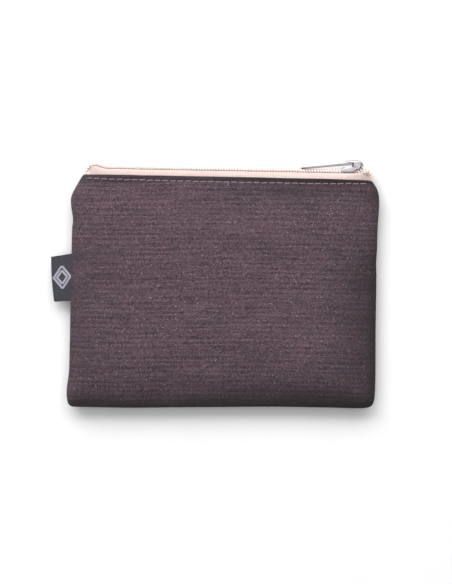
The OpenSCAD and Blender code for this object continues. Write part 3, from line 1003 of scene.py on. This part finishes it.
def bevelled_copy(name, node, body, material, slot, width, segments=3, reshape=None):
    """A copy of a CAD piece with its edges rounded, as cast and plated metal has them.

    reshape, if given, moves each corner first: it takes and returns a place in mm.
    """
    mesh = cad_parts[node].data.copy()
    mesh.name = name
    work = bmesh.new()
    work.from_mesh(mesh)
    bmesh.ops.remove_doubles(work, verts=work.verts, dist=0.002 * MM)
    bmesh.ops.dissolve_limit(work, angle_limit=math.radians(1.5), verts=work.verts, edges=work.edges)
    if reshape:
        for vert in work.verts:
            vert.co = [c * MM for c in reshape(*(c / MM for c in vert.co))]
    sharp = [e for e in work.edges if e.is_manifold and e.calc_face_angle(0) > math.radians(BEVEL_ANGLE)]
    bmesh.ops.bevel(work, geom=sharp, offset=width * MM, segments=segments, profile=0.5, affect="EDGES",
                    clamp_overlap=True)
    bmesh.ops.triangulate(work, faces=[f for f in work.faces if len(f.verts) > 4])
    for face in work.faces:
        face.smooth = True
    work.to_mesh(mesh)
    work.free()
    mesh.materials.clear()
    mesh.materials.append(material)
    piece = claim(link(name, mesh), body, slot, node)
    piece.modifiers.new("normals", "WEIGHTED_NORMAL").keep_sharp = True


# Outlines in (X, Y): the slider's turned-down wings, and its crown with the beak over the pull
# tab's bar. The wings lie between two distances from the middle, and the crown reaches one to each side.
WING = [(48.75, 52.05), (49.7, 51.6), (51.4, 51.55), (53.3, 51.75), (54.7, 52.2), (55.2, 52.85),
        (54.7, 53.45), (53.0, 53.75), (51.2, 53.6), (49.6, 53.2), (48.75, 52.65)]
WING_CENTRE = (52.0, 52.65)
WING_Z = (2.3, 3.0)
CROWN = [(50.45, 56.35), (51.7, 56.72), (53.6, 56.9), (55.6, 56.85), (57.1, 56.25), (57.95, 55.2),
         (57.75, 54.2), (56.6, 53.6), (54.6, 53.5), (53.6, 53.75), (53.3, 54.6), (53.25, 55.6),
         (52.7, 56.1), (51.4, 56.15)]
CROWN_CENTRE = (55.3, 55.45)
CROWN_HALF = 1.42
WING_POWER, CROWN_POWER = 2.6, 3.2  # how full their edges are: 2 is an ellipse
PEBBLE_ANGLES = (10, 24, 38, 52, 66, 78, 86, 89.9)
# The lower plate's share of its width, and where the square wings are drawn in to
PLATE_SHARE = 0.87
TUCKED_X = (50.2, 53.9)
TUCKED_Y = 52.3
# The pull tab: its bar's place in from the CAD tab's corner, its slope, and its blade's start and share of
# the CAD's thickness, and how far the blade sags from there to a distance from the bar
BAR_IN, TAB_SLOPE = (0.6, 0.5), 5.5
BLADE_START, BLADE_SHARE = 1.0, 0.78
BLADE_SAG, SAG_END = 0.32, 14.0


def ring_through(points, per_span):
    """Points on a closed Catmull-Rom curve through given points."""
    p = np.asarray(points, float)
    return spline(np.vstack([p[-2:], p, p[:2]]), per_span)[2 * per_span:(2 + len(p)) * per_span]


def pebble(outline, centre, z_low, z_high, power):
    """A closed plate with full round edges: an (X, Y) outline drawn in towards a centre near both faces."""
    outline, centre = ring_through(outline, 4), np.array(centre)
    rings = []
    for angle in np.radians([*(-a for a in reversed(PEBBLE_ANGLES)), *PEBBLE_ANGLES]):
        flat = centre + (outline - centre) * math.cos(angle) ** (2 / power)
        lift = math.copysign(abs(math.sin(angle)) ** (2 / power), angle)
        z = MID_Z + (z_low + z_high) / 2 + (z_high - z_low) / 2 * lift
        rings.append(np.column_stack([flat, np.full(len(flat), z)]))
    rings = np.array(rings)
    return grid(rings, rings[..., :2], wrap=True)


def slim_body(x, y, z):
    """Draws in the slider's lower plate to clear the tape, and its square wings to lie in the round ones."""
    off = z - MID_Z
    if y < COIL_BASE_Y - 0.2:
        return x, y, MID_Z + off * PLATE_SHARE
    if abs(off) > WING_Z[0] - 0.05 and y < WING_CENTRE[1]:
        return min(max(x, TUCKED_X[0]), TUCKED_X[1]), TUCKED_Y, z
    return x, y, z


def lean_tab(x, y, z):
    """Thins the pull tab's blade and lets its far end hang lower over the coil."""
    high = node_box("pull_tab")[1]
    reach = max(high[0] - BAR_IN[0] - x, 0)
    middle = high[1] - BAR_IN[1] - reach * math.tan(math.radians(TAB_SLOPE))
    share = BLADE_SHARE if reach > BLADE_START else 1.0
    return x, middle + (y - middle) * share - BLADE_SAG * float(smooth_step(reach, BLADE_START, SAG_END)), z


bevelled_copy("zip_slider", "slider_body", "slider", NICKEL, "slider_metal", 0.2, reshape=slim_body)
wings = join(pebble(WING, WING_CENTRE, *WING_Z, WING_POWER),
             pebble(WING, WING_CENTRE, -WING_Z[1], -WING_Z[0], WING_POWER))
claim(add_object("slider_wings", wings, NICKEL), "slider", "slider_metal")
crown = pebble(CROWN, CROWN_CENTRE, -CROWN_HALF, CROWN_HALF, CROWN_POWER)
claim(add_object("zip_slider_cap", crown, NICKEL), "slider", "slider_metal", "slider_cap")
bevelled_copy("zip_pull_tab", "pull_tab", "pull", TAB_NICKEL, "slider_metal", 0.22, 4, reshape=lean_tab)
bevelled_copy("zip_lock_spring", "lock_spring", "lock", STEEL, "spring_steel", 0.04, 2)


# ---- seam stitches and label
SEAM_PITCH, SEAM_IN, SEAM_THREAD_R = 3.0, 2.2, 0.15
SEAM_REACH = (-1.1, -0.44, 0.44, 1.1)
UPWARDS = range(-14, 12)  # numbers of the stitches up each side


def seam_stitching():
    """The hidden lockstitches that close the sides and the bottom, just inside the seam."""
    low, high = node_box("side_seam_stitches")
    z = (low[2] + high[2]) / 2
    places = []
    for x in SEAM_PITCH * np.array(ACROSS):
        places.append((x, float(bottom_edge(x)) + SEAM_IN, 1, 0))
    for y in SEAM_PITCH * np.array(UPWARDS):
        places.append((SEAM_IN - float(left_edge(y)), y, 0, 1))
        places.append((float(right_edge(y)) - SEAM_IN, y, 0, 1))
    return join(*(tube([(x + t * dx, y + t * dy, z) for t in SEAM_REACH], SEAM_THREAD_R, sides=6)
                  for x, y, dx, dy in places))


add_root_piece("seam_stitching", seam_stitching(), THREAD, "sewing_thread", "side_seam_stitches")

# The label's corners in (X, Y): at the seam (in) and at the folded end (out)
LABEL_TOP_IN = (-63.4, 15.2)
LABEL_LOW_IN = (-62.8, -4.7)
LABEL_TOP_OUT = (-72.9, 13.6)
LABEL_LOW_OUT = (-71.2, -5.3)
LABEL_BULGE = 0.35
LABEL_CUT = (19.0, 19.0)
RIBBON_T = 0.28
RIBBON_HALF = 0.36  # from the ribbon's own middle to its outer face
FOLD_FROM = 0.955  # the share of the label's width at which the fold starts
# The pattern: its centre as shares of the label, the diamonds' half heights in rows, and a row's size
MARK_CENTRE = (0.52, 0.52)
MARK_SIZES = (10.6, 6.2)
ROW_ALONG, ROW_ACROSS = 0.0235, 0.036
FLOAT_REACH = (-0.045, -0.015, 0.015, 0.045)
FLOAT_R = 0.16


def label_point(across, along, z):
    """A point of the label: across from 0 at the seam to 1 at the fold, along from 0 (foot) to 1 (top)."""
    low = np.array(LABEL_LOW_IN) * (1 - across) + np.array(LABEL_LOW_OUT) * across
    top = np.array(LABEL_TOP_IN) * (1 - across) + np.array(LABEL_TOP_OUT) * across
    x, y = low * (1 - along) + top * along
    middle = math.sin(along * math.pi)
    x -= LABEL_BULGE * across * middle
    droop = -1.5 * across ** 1.6
    wave = (0.25 * middle + 0.2 * math.sin(along * 5 + 1)) * across
    return x, y, MID_Z + droop + wave + z


def label():
    """The ribbon folded back on itself at its outer end."""
    profile = [(t, RIBBON_HALF) for t in np.linspace(0, FOLD_FROM, 14)]
    profile += [(FOLD_FROM + (1 - FOLD_FROM) * math.sin(a), RIBBON_HALF * math.cos(a))
                for a in np.radians([30, 60, 90, 120, 150])]
    profile += [(t, -RIBBON_HALF) for t in np.linspace(FOLD_FROM, 0, 14)]
    along = np.linspace(0, 1, 25)
    points = np.array([[label_point(across, share, z) for share in along] for across, z in profile])
    run = run_along(points[:, len(along) // 2])
    uvs = np.stack(np.broadcast_arrays(along[None, :] * LABEL_CUT[0], run[:, None]), axis=-1)
    return thicken(grid(points, uvs), RIBBON_T)


def label_mark():
    """A plain woven pattern of nested diamonds, drawn by short floats of pale thread."""
    floats = []
    for row in range(-10, 11):
        along = MARK_CENTRE[0] + row * ROW_ALONG
        for reach in (size - abs(row) for size in MARK_SIZES if size > abs(row)):
            for sign in (-1, 1):
                across = MARK_CENTRE[1] + sign * reach * ROW_ACROSS
                path = [label_point(across + t, along, RIBBON_HALF + 0.02) for t in FLOAT_REACH]
                floats.append(tube(path, FLOAT_R, sides=6))
    return join(*floats)


label_piece = add_object("folded_label", label(), RIBBON)
mark_piece = add_object("label_pattern", label_mark(), MARK_THREAD)
for piece in (label_piece, mark_piece):
    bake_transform(piece)
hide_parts("side_label")


# ---- floor, lights and world
# In metres and watts: the floor's half width, and each light's name, place, width and power
FLOOR_REACH = 6.0
LIGHTS = (("key_left", (-0.67, 1.12, 0.93), 1.2, 22.0),
          ("key_right", (0.40, 1.20, 0.93), 1.2, 13.0),
          ("overhead", (-0.05, -0.1, 1.6), 1.7, 11.5))
SKY_STRENGTH = 0.15


def make_floor():
    """A pale floor. It sends no bounced light back up, so that the cloth keeps its depth."""
    mesh = bpy.data.meshes.new("floor")
    corners = [(x * FLOOR_REACH, y * FLOOR_REACH, 0) for x, y in ((-1, -1), (1, -1), (1, 1), (-1, 1))]
    mesh.from_pydata(corners, [], [(0, 1, 2, 3)])
    n = Nodes("floor", Roughness=0.9)
    speck = n.noise(n.add("TexCoord").outputs["Object"], 40.0, 2.0)
    n.colour(n.mix(n.ramp(speck, 0.3, 0.7), (0.93, 0.93, 0.93, 1), (0.95, 0.95, 0.95, 1)))
    mesh.materials.append(n.material)
    floor = link("floor", mesh)
    floor.visible_diffuse = False


def make_light():
    """Soft square lights aimed at the pouch, and a dim even sky."""
    for name, place, width, power in LIGHTS:
        data = bpy.data.lights.new(name, "AREA")
        data.size = width
        data.energy = power
        light = link(name, data)
        light.location = place
        light.rotation_euler = (-Vector(place)).to_track_quat("-Z", "Y").to_euler()
    world = bpy.data.worlds.new("studio")
    bpy.context.scene.world = world
    world.use_nodes = True
    background = world.node_tree.nodes["Background"]
    background.inputs[0].default_value = (1, 1, 1, 1)
    background.inputs[1].default_value = SKY_STRENGTH


make_floor()
make_light()
bpy.context.scene.view_settings.view_transform = "Standard"
